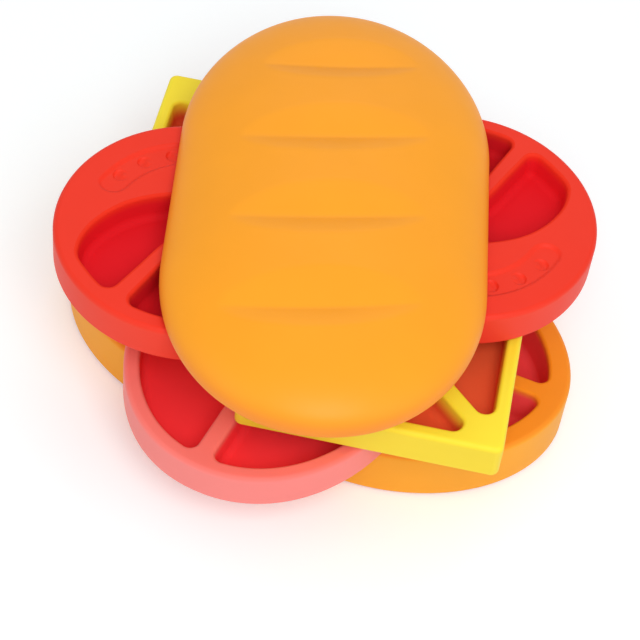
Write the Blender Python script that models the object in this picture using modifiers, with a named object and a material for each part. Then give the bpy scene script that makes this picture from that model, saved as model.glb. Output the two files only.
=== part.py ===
"""Puzzle feeder built like a stacked sandwich: four moulded trays and a domed bun on one upright axle.

Metres, +Z up. The origin is on the axle at the floor, and +X runs along the base tray.
Every tray above the base, and the bun, turns freely about the axle.
"""
import math

import bmesh
import bpy
from mathutils import Vector

# Heights of the stack, from the floor up
FOOT_STAND = 0.0012          # the rubber feet hold the base this far off the floor
BASE_HEIGHT = 0.0250
TRAY_HEIGHT = 0.0170
LAYER_GAP = 0.0025           # air between two layers, held open by the bush flanges
BUN_HEIGHT = 0.0260

# Plan of each layer
BASE_LENGTH = 0.2372
BASE_WIDTH = 0.1334
BASE_END_SHARE = 0.70        # how much of the half length the round end takes
BASE_END_POWER = 1.93        # 2 is an ellipse, less is more pointed
HAM_LENGTH = 0.2362
HAM_WIDTH = 0.1264
HAM_END_SHARE = 0.69
HAM_END_POWER = 2.08
TOMATO_LENGTH = 0.2350
TOMATO_WIDTH = 0.1212
TOMATO_END_SHARE = 0.50
TOMATO_END_POWER = 1.98
BUN_LENGTH = 0.2400
BUN_WIDTH = 0.1358
BUN_END_SHARE = 0.68
BUN_END_POWER = 2.05
SLICE_SIDE = 0.1110          # each of the two square cheese slices
SLICE_SPREAD = 0.0990        # between the centres of the two slices
SLICE_CORNER = 0.0036

# How far each layer is fanned out from the base, in degrees
HAM_TURN = 86.46
CHEESE_TURN = -33.12
TOMATO_TURN = 31.14
BUN_TURN = 108.90

# Moulded shells
WALL = 0.0022                # outer wall, deck and the walls round the wells
WELL_FLOOR = 0.0027
EDGE_FILLET = 0.0020         # top outer edge of every tray
PLATE = 0.0020               # plate that closes each layer from below
CLEARANCE = 0.0003           # between pieces that touch on the real one
BASE_RIM = 0.0100            # deck between a well and the outer wall
HAM_RIM = 0.0068
SLICE_RIM = 0.0062
TOMATO_RIM = 0.0082
RIB = 0.0080                 # deck between two wells
BASE_BAND = 0.0400           # plain band across the middle, over the hub
WELL_CORNER = 0.0045         # radius of a well's corners in plan
KIDNEY_DEPTH = 0.0012        # shallow recess near each end of the tomato tray
KIDNEY_RIM = 0.0110
KIDNEY_WIDTH = 0.0142
KIDNEY_TAIL = 0.0090         # straight run before it bends with the tray's end
SEED_RADIUS = 0.0036         # round dimples in a row along each kidney recess
SEED_DEPTH = 0.0009

# Dome of the bun
DOME_RIM = 0.0010            # short upright edge under the dome
DOME_LENGTH_POWER = 2.50
DOME_WIDTH_POWER = 1.78
SLASH_PITCH = 0.0470         # the four scored slashes along the bun
SLASH_LENGTH = 0.0800
SLASH_FAR_SIDE = 0.0200      # width of the long slope that leads down to the crease
SLASH_NEAR_SIDE = 0.0070     # width of the short rise on its other side
SLASH_DEPTH = 0.0013
SLASH_BOW = 0.0055           # how far the ends of a crease curve towards the far end
SLASH_SHIFT = -0.0042        # whole row, along and across the bun
SLASH_OFFSET = 0.0010
END_SLASH_SHARE = 0.84       # the slash nearest the far end is shorter

# Axle, bushes and fasteners
AXLE_RADIUS = 0.0040
AXLE_HEAD_RADIUS = 0.0080
AXLE_HEAD_HEIGHT = 0.0045
AXLE_HEAD_RECESS = 0.0005    # head sits this far inside the base's underside
WASHER_RADIUS = 0.0100
WASHER = 0.0012
NUT_RADIUS = 0.0072
NUT_HEIGHT = 0.0060
AXLE_TIP = 0.0015            # thread that shows past the nut
BUSH_WALL = 0.0018
FLANGE_RADIUS = 0.0120
HUB_RADIUS = 0.0150
BUN_HUB_HEIGHT = 0.0080
SCREW_RADIUS = 0.0014
SCREW_HEAD_RADIUS = 0.0027
SCREW_HEAD_HEIGHT = 0.0015
SCREW_LENGTH = 0.0100
BOSS_RADIUS = 0.0038
FOOT_RADIUS = 0.0080
FOOT_SEAT = 0.0010           # depth of a foot's pocket in the base plate
FOOT_CHAMFER = 0.0006

OVERRUN = 0.0010             # how far a cutter runs past the face it opens
WELD = 0.000002

# Counts
SLASHES = 4
SEEDS = 3
NUT_SIDES = 6

# Sides and steps of the faceted shapes
OUTLINE_STEPS = 9            # on each quarter of a round end
CORNER_STEPS = 3
ROUND_SIDES = 16
SCREW_SIDES = 8
FILLET_STEPS = 2
DOME_STEPS = 8
SLASH_STEPS = 10
SEED_SIDES = 12
HUB_STEPS = 3                # on a hub radius, where a well bends round the hub

# Screw places, as shares of a layer's half length and half width
CROSS_SHARES = [(0.62, 0.0), (0.0, 0.64), (-0.62, 0.0), (0.0, -0.64)]
TOMATO_SCREW_SHARES = [(0.715, 0.436), (0.51, -0.445), (-0.715, -0.436), (-0.51, 0.445)]
SLICE_SCREW_SHARES = [(1, 0.84), (-1, 0.84), (-1, -0.84), (1, -0.84)]
BUN_SCREW_SHARES = [(0.52, 0.21), (-0.52, 0.21), (-0.52, -0.21), (0.52, -0.21)]
FOOT_SHARES = [(0.66, 0.50), (-0.66, 0.50), (-0.66, -0.50), (0.66, -0.50)]

# Half of the tomato tray's wells, as shares of its half length and half width
WEDGE_SHARES = [(0.19, -0.29), (0.56, -0.297), (0.63, -0.29), (0.68, -0.27), (0.73, -0.237),
                (0.78, -0.185), (0.825, -0.12), (0.865, -0.047), (0.895, 0.035), (0.915, 0.125),
                (0.945, 0.32), (1.05, 0.98), (0.61, 0.135), (0.56, 0.07), (0.19, 0.07)]
SPUR_SHARES = [(0.19, 0.24), (0.53, 0.24), (0.60, 0.286), (0.93, 1.01), (0.90, 1.20), (0.19, 1.20)]
POCKET_SHARES = [(0.12, 0.42), (0.12, 1.20), (-0.41, 1.20), (-0.335, 0.42)]
KIDNEY_END = -31             # degrees round the tray's end, where the kidney recess stops
SEED_START = -85             # degrees round the tray's end, for the first of the row
SEED_PITCH = 17.8

# Slashes: how a crease slants, in degrees, and its section from the far side to the near side, as
# shares of that side's width and of the slash's depth, where less than zero is below the dome's skin
SLASH_SKEW = -7.6
SLASH_FAR_SHARES = [(1.1, 0.4), (0.85, -0.08), (0.6, -0.35), (0.3, -0.79), (0, -1)]
SLASH_NEAR_SHARES = [(0.35, -0.42), (0.75, -0.06), (1.2, 0.4)]
SLASH_LID_SHARES = [(-1.2, 2.4), (-0.4, 2.4), (0.4, 2.4), (1.1, 2.4)]

# Colours, as linear red, green and blue
BUN_ORANGE = (0.95, 0.39, 0.05)
BASE_ORANGE = (0.94, 0.24, 0.02)
HAM_PINK = (0.87, 0.13, 0.12)
CHEESE_YELLOW = (0.98, 0.80, 0.06)
TOMATO_RED = (0.85, 0.05, 0.03)
NYLON_WHITE = (0.80, 0.80, 0.76)
STEEL_GREY = (0.52, 0.53, 0.55)
RUBBER_GREY = (0.10, 0.10, 0.11)


def clear_scene():
    for old in list(bpy.data.objects):
        bpy.data.objects.remove(old, do_unlink=True)


def make_collection(name):
    collection = bpy.data.collections.new(name)
    bpy.context.scene.collection.children.link(collection)
    return collection


def make_material(name, colour, roughness, metallic=0.0):
    material = bpy.data.materials.new(name)
    material.use_nodes = True
    shader = material.node_tree.nodes["Principled BSDF"]
    shader.inputs["Base Color"].default_value = (*colour, 1.0)
    shader.inputs["Roughness"].default_value = roughness
    shader.inputs["Metallic"].default_value = metallic
    return material


# Flat outlines, each a list of (x, y) points running anticlockwise

def spread(points, distance):
    """Move every edge of an outline outward by a distance, or inward where it is negative."""
    moved = []
    for index, (x, y) in enumerate(points):
        before = points[index - 1]
        after = points[(index + 1) % len(points)]
        first = math.atan2(y - before[1], x - before[0])
        second = math.atan2(after[1] - y, after[0] - x)
        half = ((second - first + math.pi) % math.tau - math.pi) / 2
        normal = first + half - math.pi / 2
        reach = distance / max(math.cos(half), 0.5)
        moved.append((x + reach * math.cos(normal), y + reach * math.sin(normal)))
    return moved


def oval(length, width, end_share, power, inset=0.0):
    """Straight sides with a round end at each side, drawn in by the inset."""
    end = length / 2 * end_share
    start = length / 2 - end
    quarter = []
    for step in range(OUTLINE_STEPS + 1):
        angle = math.radians(90) * step / OUTLINE_STEPS
        quarter.append((start + end * math.cos(angle) ** (2 / power),
                        width / 2 * math.sin(angle) ** (2 / power)))
    upper = quarter + [(-x, y) for x, y in reversed(quarter)]
    lower = [(x, -y) for x, y in reversed(upper[1:-1])]
    return spread(upper + lower, -inset)


def base_edge(inset=0.0):
    return oval(BASE_LENGTH, BASE_WIDTH, BASE_END_SHARE, BASE_END_POWER, inset)


def ham_edge(inset=0.0):
    return oval(HAM_LENGTH, HAM_WIDTH, HAM_END_SHARE, HAM_END_POWER, inset)


def tomato_edge(inset=0.0):
    return oval(TOMATO_LENGTH, TOMATO_WIDTH, TOMATO_END_SHARE, TOMATO_END_POWER, inset)


def cheese_edge(inset=0.0):
    """Two square slices turned corner to corner, so that they overlap in the middle."""
    reach = (SLICE_SIDE / 2 - inset) * math.sqrt(2)
    centre = SLICE_SPREAD / 2
    corners = [(centre + reach, 0), (centre, reach), (0, reach - centre), (-centre, reach),
               (-centre - reach, 0), (-centre, -reach), (0, centre - reach), (centre, -reach)]
    return soften(corners, max(SLICE_CORNER - inset, SLICE_CORNER / 2))


def ring(radius, sides=ROUND_SIDES, centre=(0, 0)):
    return [(centre[0] + radius * math.cos(math.tau * step / sides),
             centre[1] + radius * math.sin(math.tau * step / sides)) for step in range(sides)]


def clip(points, limit):
    """Keep the part of an outline that lies inside a convex limit outline."""
    kept = points
    for index, start in enumerate(limit):
        end = limit[(index + 1) % len(limit)]
        along = (end[0] - start[0], end[1] - start[1])
        source = kept
        kept = []
        for place, point in enumerate(source):
            last = source[place - 1]
            side = along[0] * (point[1] - start[1]) - along[1] * (point[0] - start[0])
            last_side = along[0] * (last[1] - start[1]) - along[1] * (last[0] - start[0])
            if (side >= 0) != (last_side >= 0):
                share = last_side / (last_side - side)
                kept.append(tuple(l + (p - l) * share for l, p in zip(last, point)))
            if side >= 0:
                kept.append(point)
    return kept


def soften(points, radius=WELL_CORNER):
    """Round every sharp corner of an outline, along curved sides as well as straight ones."""
    points = [point for index, point in enumerate(points)
              if math.dist(point, points[index - 1]) > WELD]
    total = len(points)
    stations = [0.0]
    for index in range(total):
        stations.append(stations[-1] + math.dist(points[index], points[(index + 1) % total]))
    loop = stations.pop()

    def place_at(distance):
        distance %= loop
        index = max(i for i in range(total) if stations[i] <= distance)
        start, end = points[index], points[(index + 1) % total]
        share = (distance - stations[index]) / math.dist(start, end)
        return tuple(a + (b - a) * share for a, b in zip(start, end))

    def turn_at(index):
        (x, y), before, after = points[index], points[index - 1], points[(index + 1) % total]
        first = math.atan2(y - before[1], x - before[0])
        second = math.atan2(after[1] - y, after[0] - x)
        return (second - first + math.pi) % math.tau - math.pi

    corners = [index for index in range(total) if abs(turn_at(index)) > math.radians(22)]
    reaches = [radius * math.tan(abs(turn_at(corner)) / 2) for corner in corners]
    gaps = [(stations[corners[(i + 1) % len(corners)]] - stations[corner]) % loop or loop
            for i, corner in enumerate(corners)]
    result = []
    for i, corner in enumerate(corners):
        before = min(reaches[i], gaps[i - 1] / 2.1)
        after = min(reaches[i], gaps[i] / 2.1)
        result += turn_between(place_at, stations[corner] - before, stations[corner] + after)
        stop = gaps[i] - min(reaches[(i + 1) % len(corners)], gaps[i] / 2.1)
        between = [(stations[index] - stations[corner]) % loop for index in range(total)]
        result += [points[index] for index in sorted(range(total), key=between.__getitem__)
                   if after + WELD < between[index] < stop - WELD]
    return result


def turn_between(place_at, start, end):
    """A near-circular turn between two places on an outline, leaving each along the outline."""
    nudge = (end - start) / 50
    a, b = Vector(place_at(start)), Vector(place_at(end))
    leave = (a - Vector(place_at(start - nudge))).normalized()
    arrive = (Vector(place_at(end + nudge)) - b).normalized()
    turn = max(abs(leave.angle_signed(arrive, 0.0)), math.radians(1))
    handle = (b - a).length * 2 / 3 * math.tan(turn / 4) / math.sin(turn / 2)
    points = []
    for step in range(CORNER_STEPS + 1):
        t = step / CORNER_STEPS
        points.append(tuple((1 - t) ** 3 * a + 3 * t * (1 - t) ** 2 * (a + leave * handle)
                            + 3 * t ** 2 * (1 - t) * (b - arrive * handle) + t ** 3 * b))
    return points


def clear_hub(points):
    """Push an outline's points out of the hub, so that the well bends round it."""
    keep_out = HUB_RADIUS + WALL
    pushed = []
    for index, (x, y) in enumerate(points):
        after = points[(index + 1) % len(points)]
        run_x, run_y = after[0] - x, after[1] - y
        nearest = max(0.0, min(1.0, -(x * run_x + y * run_y) / (run_x ** 2 + run_y ** 2)))
        passes = math.hypot(x + run_x * nearest, y + run_y * nearest) < keep_out
        steps = math.ceil(math.hypot(run_x, run_y) / keep_out * HUB_STEPS) if passes else 1
        for step in range(steps):
            spot_x, spot_y = x + run_x * step / steps, y + run_y * step / steps
            scale = max(1.0, keep_out / math.hypot(spot_x, spot_y))
            pushed.append((spot_x * scale, spot_y * scale))
    return pushed


def half_turn(points):
    return [(-x, -y) for x, y in points]


def oval_wells(limit, length, width):
    """Four wells, each in a quarter of the oval, with a plain band over the hub."""
    wells = []
    for side in (1, -1):
        for end in (1, -1):
            corners = [(end * BASE_BAND / 2, side * RIB / 2), (end * length, side * RIB / 2),
                       (end * length, side * width), (end * BASE_BAND / 2, side * width)]
            if end * side < 0:
                corners.reverse()
            wells.append(soften(clip(corners, limit)))
    return wells


def slice_wells():
    """Four wells in each cheese slice, between ribs that cross at its centre."""
    reach = (SLICE_SIDE / 2 - SLICE_RIM) * math.sqrt(2)
    centre = SLICE_SPREAD / 2
    rib = RIB / 2
    outer = [(centre + rib, rib), (centre + reach - rib, rib), (centre + rib, reach - rib)]
    inner = [(RIB, rib), (centre - rib, rib), (centre - rib, reach - rib),
             (RIB, reach - centre + RIB)]
    wells = []
    for shape in (soften(outer), soften(clear_hub(inner))):
        mirrored = [(x, -y) for x, y in reversed(shape)]
        wells += [shape, half_turn(shape), mirrored, half_turn(mirrored)]
    return wells


def from_shares(shares):
    return [(x * TOMATO_LENGTH / 2, y * TOMATO_WIDTH / 2) for x, y in shares]


def tomato_wells(limit):
    """Three chambers on each side of the axle, parted by slanting ribs."""
    wells = []
    for shares in (WEDGE_SHARES, SPUR_SHARES, POCKET_SHARES):
        shape = soften(clip(from_shares(shares), limit))
        wells += [shape, half_turn(shape)]
    return wells


def kidneys():
    """The curved shallow recess near each end of the tomato tray, parallel to its edge."""
    start = TOMATO_LENGTH / 2 * (1 - TOMATO_END_SHARE)

    def band(inset):
        bent = [(x, y) for x, y in tomato_edge(inset)
                if y < 0 and x > start - WELD and math.degrees(math.atan2(y, x - start)) < KIDNEY_END]
        lowest = inset - TOMATO_WIDTH / 2
        return [(start - KIDNEY_TAIL, lowest)] + sorted(bent)

    shape = soften(band(KIDNEY_RIM) + band(KIDNEY_RIM + KIDNEY_WIDTH)[::-1], KIDNEY_WIDTH / 2)
    return [shape, half_turn(shape)]


def seed_places():
    """The middles of the round dimples in both kidney recesses."""
    start = TOMATO_LENGTH / 2 * (1 - TOMATO_END_SHARE)
    radius = TOMATO_WIDTH / 2 - KIDNEY_RIM - KIDNEY_WIDTH / 2
    angles = [math.radians(SEED_START + SEED_PITCH * index) for index in range(SEEDS)]
    row = [(start + radius * math.cos(angle), radius * math.sin(angle)) for angle in angles]
    return row + half_turn(row)


# Solids

def slab(name, loops, low, high, collection, fillet=0.0):
    """A flat plate between two heights. Loops inside another loop become holes."""
    curve = bpy.data.curves.new(name, "CURVE")
    curve.dimensions = "2D"
    curve.fill_mode = "BOTH"
    curve.extrude = (high - low) / 2
    for loop in loops:
        spline = curve.splines.new("POLY")
        spline.points.add(len(loop) - 1)
        for point, (x, y) in zip(spline.points, loop):
            point.co = (x, y, 0, 1)
        spline.use_cyclic_u = True
    flat = bpy.data.objects.new(name + "_outline", curve)
    flat.location.z = (low + high) / 2
    bpy.context.scene.collection.objects.link(flat)
    bpy.context.view_layer.update()
    graph = bpy.context.evaluated_depsgraph_get()
    mesh = bpy.data.meshes.new_from_object(flat.evaluated_get(graph))
    mesh.name = name
    shape = bmesh.new()
    shape.from_mesh(mesh)
    bmesh.ops.transform(shape, matrix=flat.matrix_world, verts=shape.verts)
    bmesh.ops.remove_doubles(shape, verts=shape.verts, dist=WELD)
    bmesh.ops.dissolve_limit(shape, angle_limit=math.radians(0.2), verts=shape.verts,
                             edges=shape.edges)
    bmesh.ops.recalc_face_normals(shape, faces=shape.faces)
    if fillet:
        top = [edge for edge in shape.edges if all(v.co.z > high - WELD for v in edge.verts)
               and any(abs(face.normal.z) < 0.5 for face in edge.link_faces)]
        bmesh.ops.bevel(shape, geom=top, offset=fillet, segments=FILLET_STEPS, profile=0.5,
                        affect="EDGES", clamp_overlap=True)
    shape.to_mesh(mesh)
    shape.free()
    bpy.data.objects.remove(flat, do_unlink=True)
    solid = bpy.data.objects.new(name, mesh)
    collection.objects.link(solid)
    return solid


def turned(name, profile, collection, sides=ROUND_SIDES):
    """A solid of revolution. The profile runs down its outer side, from axis to axis."""
    mesh = bpy.data.meshes.new(name)
    edges = [(i, i + 1) for i in range(len(profile) - 1)]
    if profile[0][0] > WELD:
        edges.append((len(profile) - 1, 0))
    mesh.from_pydata([(r, 0, z) for r, z in profile], edges, [])
    solid = bpy.data.objects.new(name, mesh)
    collection.objects.link(solid)
    screw = solid.modifiers.new("turn", "SCREW")
    screw.axis = "Z"
    screw.angle = math.tau
    screw.steps = sides
    screw.render_steps = sides
    screw.use_merge_vertices = True
    screw.merge_threshold = WELD
    screw.use_smooth_shade = False
    return solid


def as_cutter(cutter):
    cutter.hide_render = True
    cutter.display_type = "WIRE"
    return cutter


def cut(target, cutter, how="DIFFERENCE"):
    boolean = target.modifiers.new(cutter.name, "BOOLEAN")
    boolean.operation = how
    boolean.solver = "EXACT"
    boolean.object = as_cutter(cutter)


def finish(piece, material, carrier):
    """Give a piece its material, shade it and hang it on the empty that turns it."""
    piece.data.materials.clear()
    piece.data.materials.append(material)
    piece.parent = carrier
    piece.data.shade_smooth()
    piece.data.set_sharp_from_angle(angle=math.radians(30))
    return piece


# Sizes that several pieces share
BUSH_RADIUS = AXLE_RADIUS + CLEARANCE + BUSH_WALL
HUB_BORE = BUSH_RADIUS + CLEARANCE
PLATE_HOLE = HUB_RADIUS + CLEARANCE
PILOT_RADIUS = SCREW_RADIUS + CLEARANCE


def layer_levels():
    """The underside of each layer and of the bun, bottom to top."""
    levels = {"base": FOOT_STAND}
    levels["ham"] = levels["base"] + BASE_HEIGHT + LAYER_GAP
    levels["cheese"] = levels["ham"] + TRAY_HEIGHT + LAYER_GAP
    levels["tomato"] = levels["cheese"] + TRAY_HEIGHT + LAYER_GAP
    levels["bun"] = levels["tomato"] + TRAY_HEIGHT + LAYER_GAP
    return levels


def make_seeds(name, level, cutters):
    """Flattened balls, half sunk in the floor of the kidney recesses."""
    mesh = bpy.data.meshes.new(name)
    shape = bmesh.new()
    for x, y in seed_places():
        ball = bmesh.ops.create_uvsphere(shape, u_segments=SEED_SIDES, v_segments=SEED_SIDES // 2,
                                         radius=SEED_RADIUS)
        bmesh.ops.scale(shape, vec=(1, 1, SEED_DEPTH / SEED_RADIUS), verts=ball["verts"])
        bmesh.ops.translate(shape, vec=(x, y, level), verts=ball["verts"])
    shape.to_mesh(mesh)
    shape.free()
    seeds = bpy.data.objects.new(name, mesh)
    cutters.objects.link(seeds)
    return seeds


def make_tray(name, low, height, outline, inset, wells, screws, parts, cutters, recesses=()):
    """A moulded tray: deck, outer wall and wells, hollow between the wells from below."""
    high = low + height
    ledge = low + PLATE + CLEARANCE
    tray = slab(name, [outline], low, high, parts, EDGE_FILLET)
    hollow = slab(name + "_hollow", [inset], low - OVERRUN, high - WALL, cutters)
    solids = {"cores": ([spread(well, WALL) for well in wells], ledge),
              "posts": ([ring(BOSS_RADIUS, ROUND_SIDES, place) for place in screws], ledge),
              "hub": ([ring(HUB_RADIUS)], low - 2 * OVERRUN)}
    if recesses:
        solids["shallow_cores"] = ([spread(shape, WALL) for shape in recesses],
                                   high - KIDNEY_DEPTH - WALL)
    for label, (loops, bottom) in solids.items():
        cut(hollow, slab(f"{name}_{label}", loops, bottom, high, cutters))
    cut(tray, hollow)
    cut(tray, slab(name + "_wells", wells, ledge + WELL_FLOOR, high + OVERRUN, cutters))
    if recesses:
        cut(tray, slab(name + "_recesses", recesses, high - KIDNEY_DEPTH, high + OVERRUN, cutters))
        cut(tray, make_seeds(name + "_seeds", high - KIDNEY_DEPTH, cutters))
    pilots = [ring(PILOT_RADIUS, SCREW_SIDES, place) for place in screws]
    cut(tray, slab(name + "_pilots", pilots, ledge - OVERRUN, low + SCREW_LENGTH + 2 * CLEARANCE,
                   cutters))
    return tray


def make_plate(name, low, outline, screws, parts, cutters, hole):
    """The plate that closes a layer from below, with countersunk screw holes."""
    loops = [outline, ring(hole)] if hole else [outline]
    plate = slab(name, loops, low, low + PLATE, parts)
    for index, place in enumerate(screws):
        sink = turned(f"{name}_sink_{index + 1}",
                      [(0, low + PLATE + OVERRUN), (PILOT_RADIUS, low + PLATE + OVERRUN),
                       (PILOT_RADIUS, low + SCREW_HEAD_HEIGHT + CLEARANCE),
                       (SCREW_HEAD_RADIUS + CLEARANCE, low + CLEARANCE),
                       (SCREW_HEAD_RADIUS + CLEARANCE, low - OVERRUN), (0, low - OVERRUN)],
                      cutters, SCREW_SIDES)
        sink.location.x, sink.location.y = place
        cut(plate, sink)
    return plate


def make_screw(name, low, place, parts):
    """Countersunk self-tapping screw, driven up from below, its head flush with the plate."""
    tip = low + SCREW_LENGTH
    screw = turned(name, [(0, tip), (SCREW_RADIUS / 2, tip), (SCREW_RADIUS, tip - SCREW_RADIUS),
                          (SCREW_RADIUS, low + SCREW_HEAD_HEIGHT), (SCREW_HEAD_RADIUS, low + CLEARANCE),
                          (SCREW_HEAD_RADIUS, low), (0, low)], parts, SCREW_SIDES)
    screw.location.x, screw.location.y = place
    return screw


def make_bush(name, low, height, parts):
    """Nylon bush in a layer's hub. Its flange carries the layer on the one below."""
    top = low + height - CLEARANCE
    flange_top = low - CLEARANCE
    flange_low = low - LAYER_GAP + CLEARANCE
    bore = AXLE_RADIUS + CLEARANCE
    return turned(name, [(bore, top), (BUSH_RADIUS, top), (BUSH_RADIUS, flange_top),
                         (FLANGE_RADIUS, flange_top), (FLANGE_RADIUS, flange_low),
                         (bore, flange_low)], parts)


def dome_size(rise):
    """Half length and half width of the dome at a share of its height."""
    long_share = max(0.0, 1 - rise ** DOME_LENGTH_POWER) ** (1 / DOME_LENGTH_POWER)
    wide_share = max(0.0, 1 - rise ** DOME_WIDTH_POWER) ** (1 / DOME_WIDTH_POWER)
    return BUN_LENGTH / 2 * long_share, BUN_WIDTH / 2 * wide_share


def plate_rise():
    """How far up the dome the top of the bun's plate comes, as a share of the dome's height."""
    return (PLATE + CLEARANCE - DOME_RIM) / (BUN_HEIGHT - DOME_RIM)


def dome_height(x, y):
    """Height of the dome's skin above the bun's underside, found by halving."""
    low, high = 0.0, 1.0
    for _ in range(24):
        middle = (low + high) / 2
        half_length, half_width = dome_size(middle)
        end = half_length * BUN_END_SHARE
        past = max(0.0, abs(x) - (half_length - end)) / end
        side = (past ** BUN_END_POWER + (abs(y) / half_width) ** BUN_END_POWER)
        low, high = (middle, high) if side < 1 else (low, middle)
    return DOME_RIM + low * (BUN_HEIGHT - DOME_RIM)


def dome_shell(name, low, parts):
    """The bun's skin, lofted through rising ovals whose ends and sides curve in unlike ways."""
    mesh = bpy.data.meshes.new(name)
    shape = bmesh.new()
    rings = []
    edge = oval(BUN_LENGTH, BUN_WIDTH, BUN_END_SHARE, BUN_END_POWER)
    rings.append([shape.verts.new((x, y, low)) for x, y in edge])
    rises = [0.0, plate_rise()] + [math.sin(math.radians(88) * level / DOME_STEPS)
                                   for level in range(1, DOME_STEPS + 1)]
    for rise in rises:
        half_length, half_width = dome_size(rise)
        points = oval(2 * half_length, 2 * half_width, BUN_END_SHARE, BUN_END_POWER)
        height = low + DOME_RIM + rise * (BUN_HEIGHT - DOME_RIM)
        rings.append([shape.verts.new((x, y, height)) for x, y in points])
    for lower, upper in zip(rings, rings[1:]):
        for index in range(len(lower)):
            following = (index + 1) % len(lower)
            shape.faces.new((lower[index], lower[following], upper[following], upper[index]))
    shape.faces.new(rings[-1])
    bmesh.ops.recalc_face_normals(shape, faces=shape.faces)
    shape.to_mesh(mesh)
    shape.free()
    shell = bpy.data.objects.new(name, mesh)
    parts.objects.link(shell)
    thickness = shell.modifiers.new("wall", "SOLIDIFY")
    thickness.thickness = WALL
    thickness.offset = -1
    thickness.use_even_offset = True
    return shell


def make_slash(name, low, x, length, cutters):
    """A long groove with pointed ends that follows the dome both ways, to score one slash into it."""
    mesh = bpy.data.meshes.new(name)
    shape = bmesh.new()
    outline = (SLASH_FAR_SHARES + [(-share, lift) for share, lift in SLASH_NEAR_SHARES]
               + SLASH_LID_SHARES)
    sections = []
    for step in range(SLASH_STEPS + 1):
        along = 2 * step / SLASH_STEPS - 1
        across_bun = along * length / 2
        y = SLASH_OFFSET + across_bun
        crease = x + across_bun * math.tan(math.radians(SLASH_SKEW)) + SLASH_BOW * along ** 2
        swell = 1 - along ** 2
        if swell < WELD:
            sections.append([shape.verts.new((crease, y, low + dome_height(crease, y)))])
            continue
        section = []
        for share, lift in outline:
            place = crease + share * (SLASH_FAR_SIDE if share > 0 else SLASH_NEAR_SIDE) * swell
            height = dome_height(place, y) + lift * SLASH_DEPTH * swell
            section.append(shape.verts.new((place, y, low + height)))
        sections.append(section)
    for first, second in zip(sections, sections[1:]):
        for index in range(len(outline)):
            following = (index + 1) % len(outline)
            corners = [first[index % len(first)], first[following % len(first)],
                       second[following % len(second)], second[index % len(second)]]
            shape.faces.new(list(dict.fromkeys(corners)))
    bmesh.ops.recalc_face_normals(shape, faces=shape.faces)
    shape.to_mesh(mesh)
    shape.free()
    slash = bpy.data.objects.new(name, mesh)
    cutters.objects.link(slash)
    return slash


def make_bun(name, low, parts, cutters, screws):
    """Domed shell with four scored slashes, and posts inside for the plate's screws."""
    bun = dome_shell(name, low, parts)
    for index, (x, y) in enumerate(screws):
        around = [dome_height(x + dx * BOSS_RADIUS, y + dy * BOSS_RADIUS)
                  for dx in (-1, 1) for dy in (-1, 1)]
        post = slab(f"{name}_post_{index + 1}", [ring(BOSS_RADIUS, ROUND_SIDES, (x, y))],
                    low + PLATE + CLEARANCE, low + min(around) - WALL / 3, cutters)
        cut(bun, post, "UNION")
    pilots = [ring(PILOT_RADIUS, SCREW_SIDES, place) for place in screws]
    cut(bun, slab(name + "_pilots", pilots, low, low + SCREW_LENGTH + 2 * CLEARANCE, cutters))
    for index in range(SLASHES):
        x = SLASH_SHIFT + (index - (SLASHES - 1) / 2) * SLASH_PITCH
        length = SLASH_LENGTH * (END_SLASH_SHARE if index == SLASHES - 1 else 1)
        cut(bun, make_slash(f"{name}_slash_{index + 1}", low, x, length, cutters))
    return bun


def make_bun_plate(name, low, screws, parts, cutters):
    """The plate under the bun, with a raised hub for its bush."""
    half_length, half_width = dome_size(plate_rise())
    outline = oval(2 * half_length, 2 * half_width, BUN_END_SHARE, BUN_END_POWER, WALL + 3 * CLEARANCE)
    plate = make_plate(name, low, outline, screws, parts, cutters, None)
    cut(plate, slab(name + "_collar", [ring(HUB_RADIUS)], low, low + BUN_HUB_HEIGHT, cutters), "UNION")
    cut(plate, slab(name + "_bore", [ring(HUB_BORE)], low - OVERRUN,
                    low + BUN_HUB_HEIGHT + OVERRUN, cutters))
    return plate


def make_axle(low, bun_low, parts):
    """Headed axle from under the base to inside the bun, with its two washers and lock nut."""
    head_low = low + AXLE_HEAD_RECESS
    head_top = head_low + AXLE_HEAD_HEIGHT
    washer_low = head_top + CLEARANCE
    upper_low = bun_low + BUN_HUB_HEIGHT + CLEARANCE
    nut_low = upper_low + WASHER + CLEARANCE
    tip = nut_low + NUT_HEIGHT + AXLE_TIP
    bore = AXLE_RADIUS + CLEARANCE
    axle = turned("axle_bolt", [(0, tip), (AXLE_RADIUS - AXLE_TIP / 2, tip), (AXLE_RADIUS, tip - AXLE_TIP),
                                (AXLE_RADIUS, head_top), (AXLE_HEAD_RADIUS, head_top),
                                (AXLE_HEAD_RADIUS, head_low), (0, head_low)], parts)
    washers = [slab(label, [ring(WASHER_RADIUS), ring(bore)], bottom, bottom + WASHER, parts)
               for label, bottom in (("axle_washer_lower", washer_low), ("axle_washer_upper", upper_low))]
    nut = slab("axle_lock_nut", [ring(NUT_RADIUS, NUT_SIDES), ring(bore)], nut_low,
               nut_low + NUT_HEIGHT, parts)
    return [axle, nut] + washers


def make_foot(name, low, place, parts):
    """Rubber foot, seated in a pocket of the base plate."""
    top = low + FOOT_SEAT - CLEARANCE
    foot = turned(name, [(0, top), (FOOT_RADIUS, top), (FOOT_RADIUS, FOOT_CHAMFER),
                         (FOOT_RADIUS - FOOT_CHAMFER, 0), (0, 0)], parts)
    foot.location.x, foot.location.y = place
    return foot


def make_carrier(name, turn):
    """An empty on the axle. A layer's pieces hang on it, and it fans them out."""
    empty = bpy.data.objects.new(name, None)
    empty.empty_display_size = HUB_RADIUS
    empty.rotation_euler.z = math.radians(turn)
    bpy.context.scene.collection.objects.link(empty)
    return empty


def places(shares, half_length, half_width):
    return [(x * half_length, y * half_width) for x, y in shares]


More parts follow.
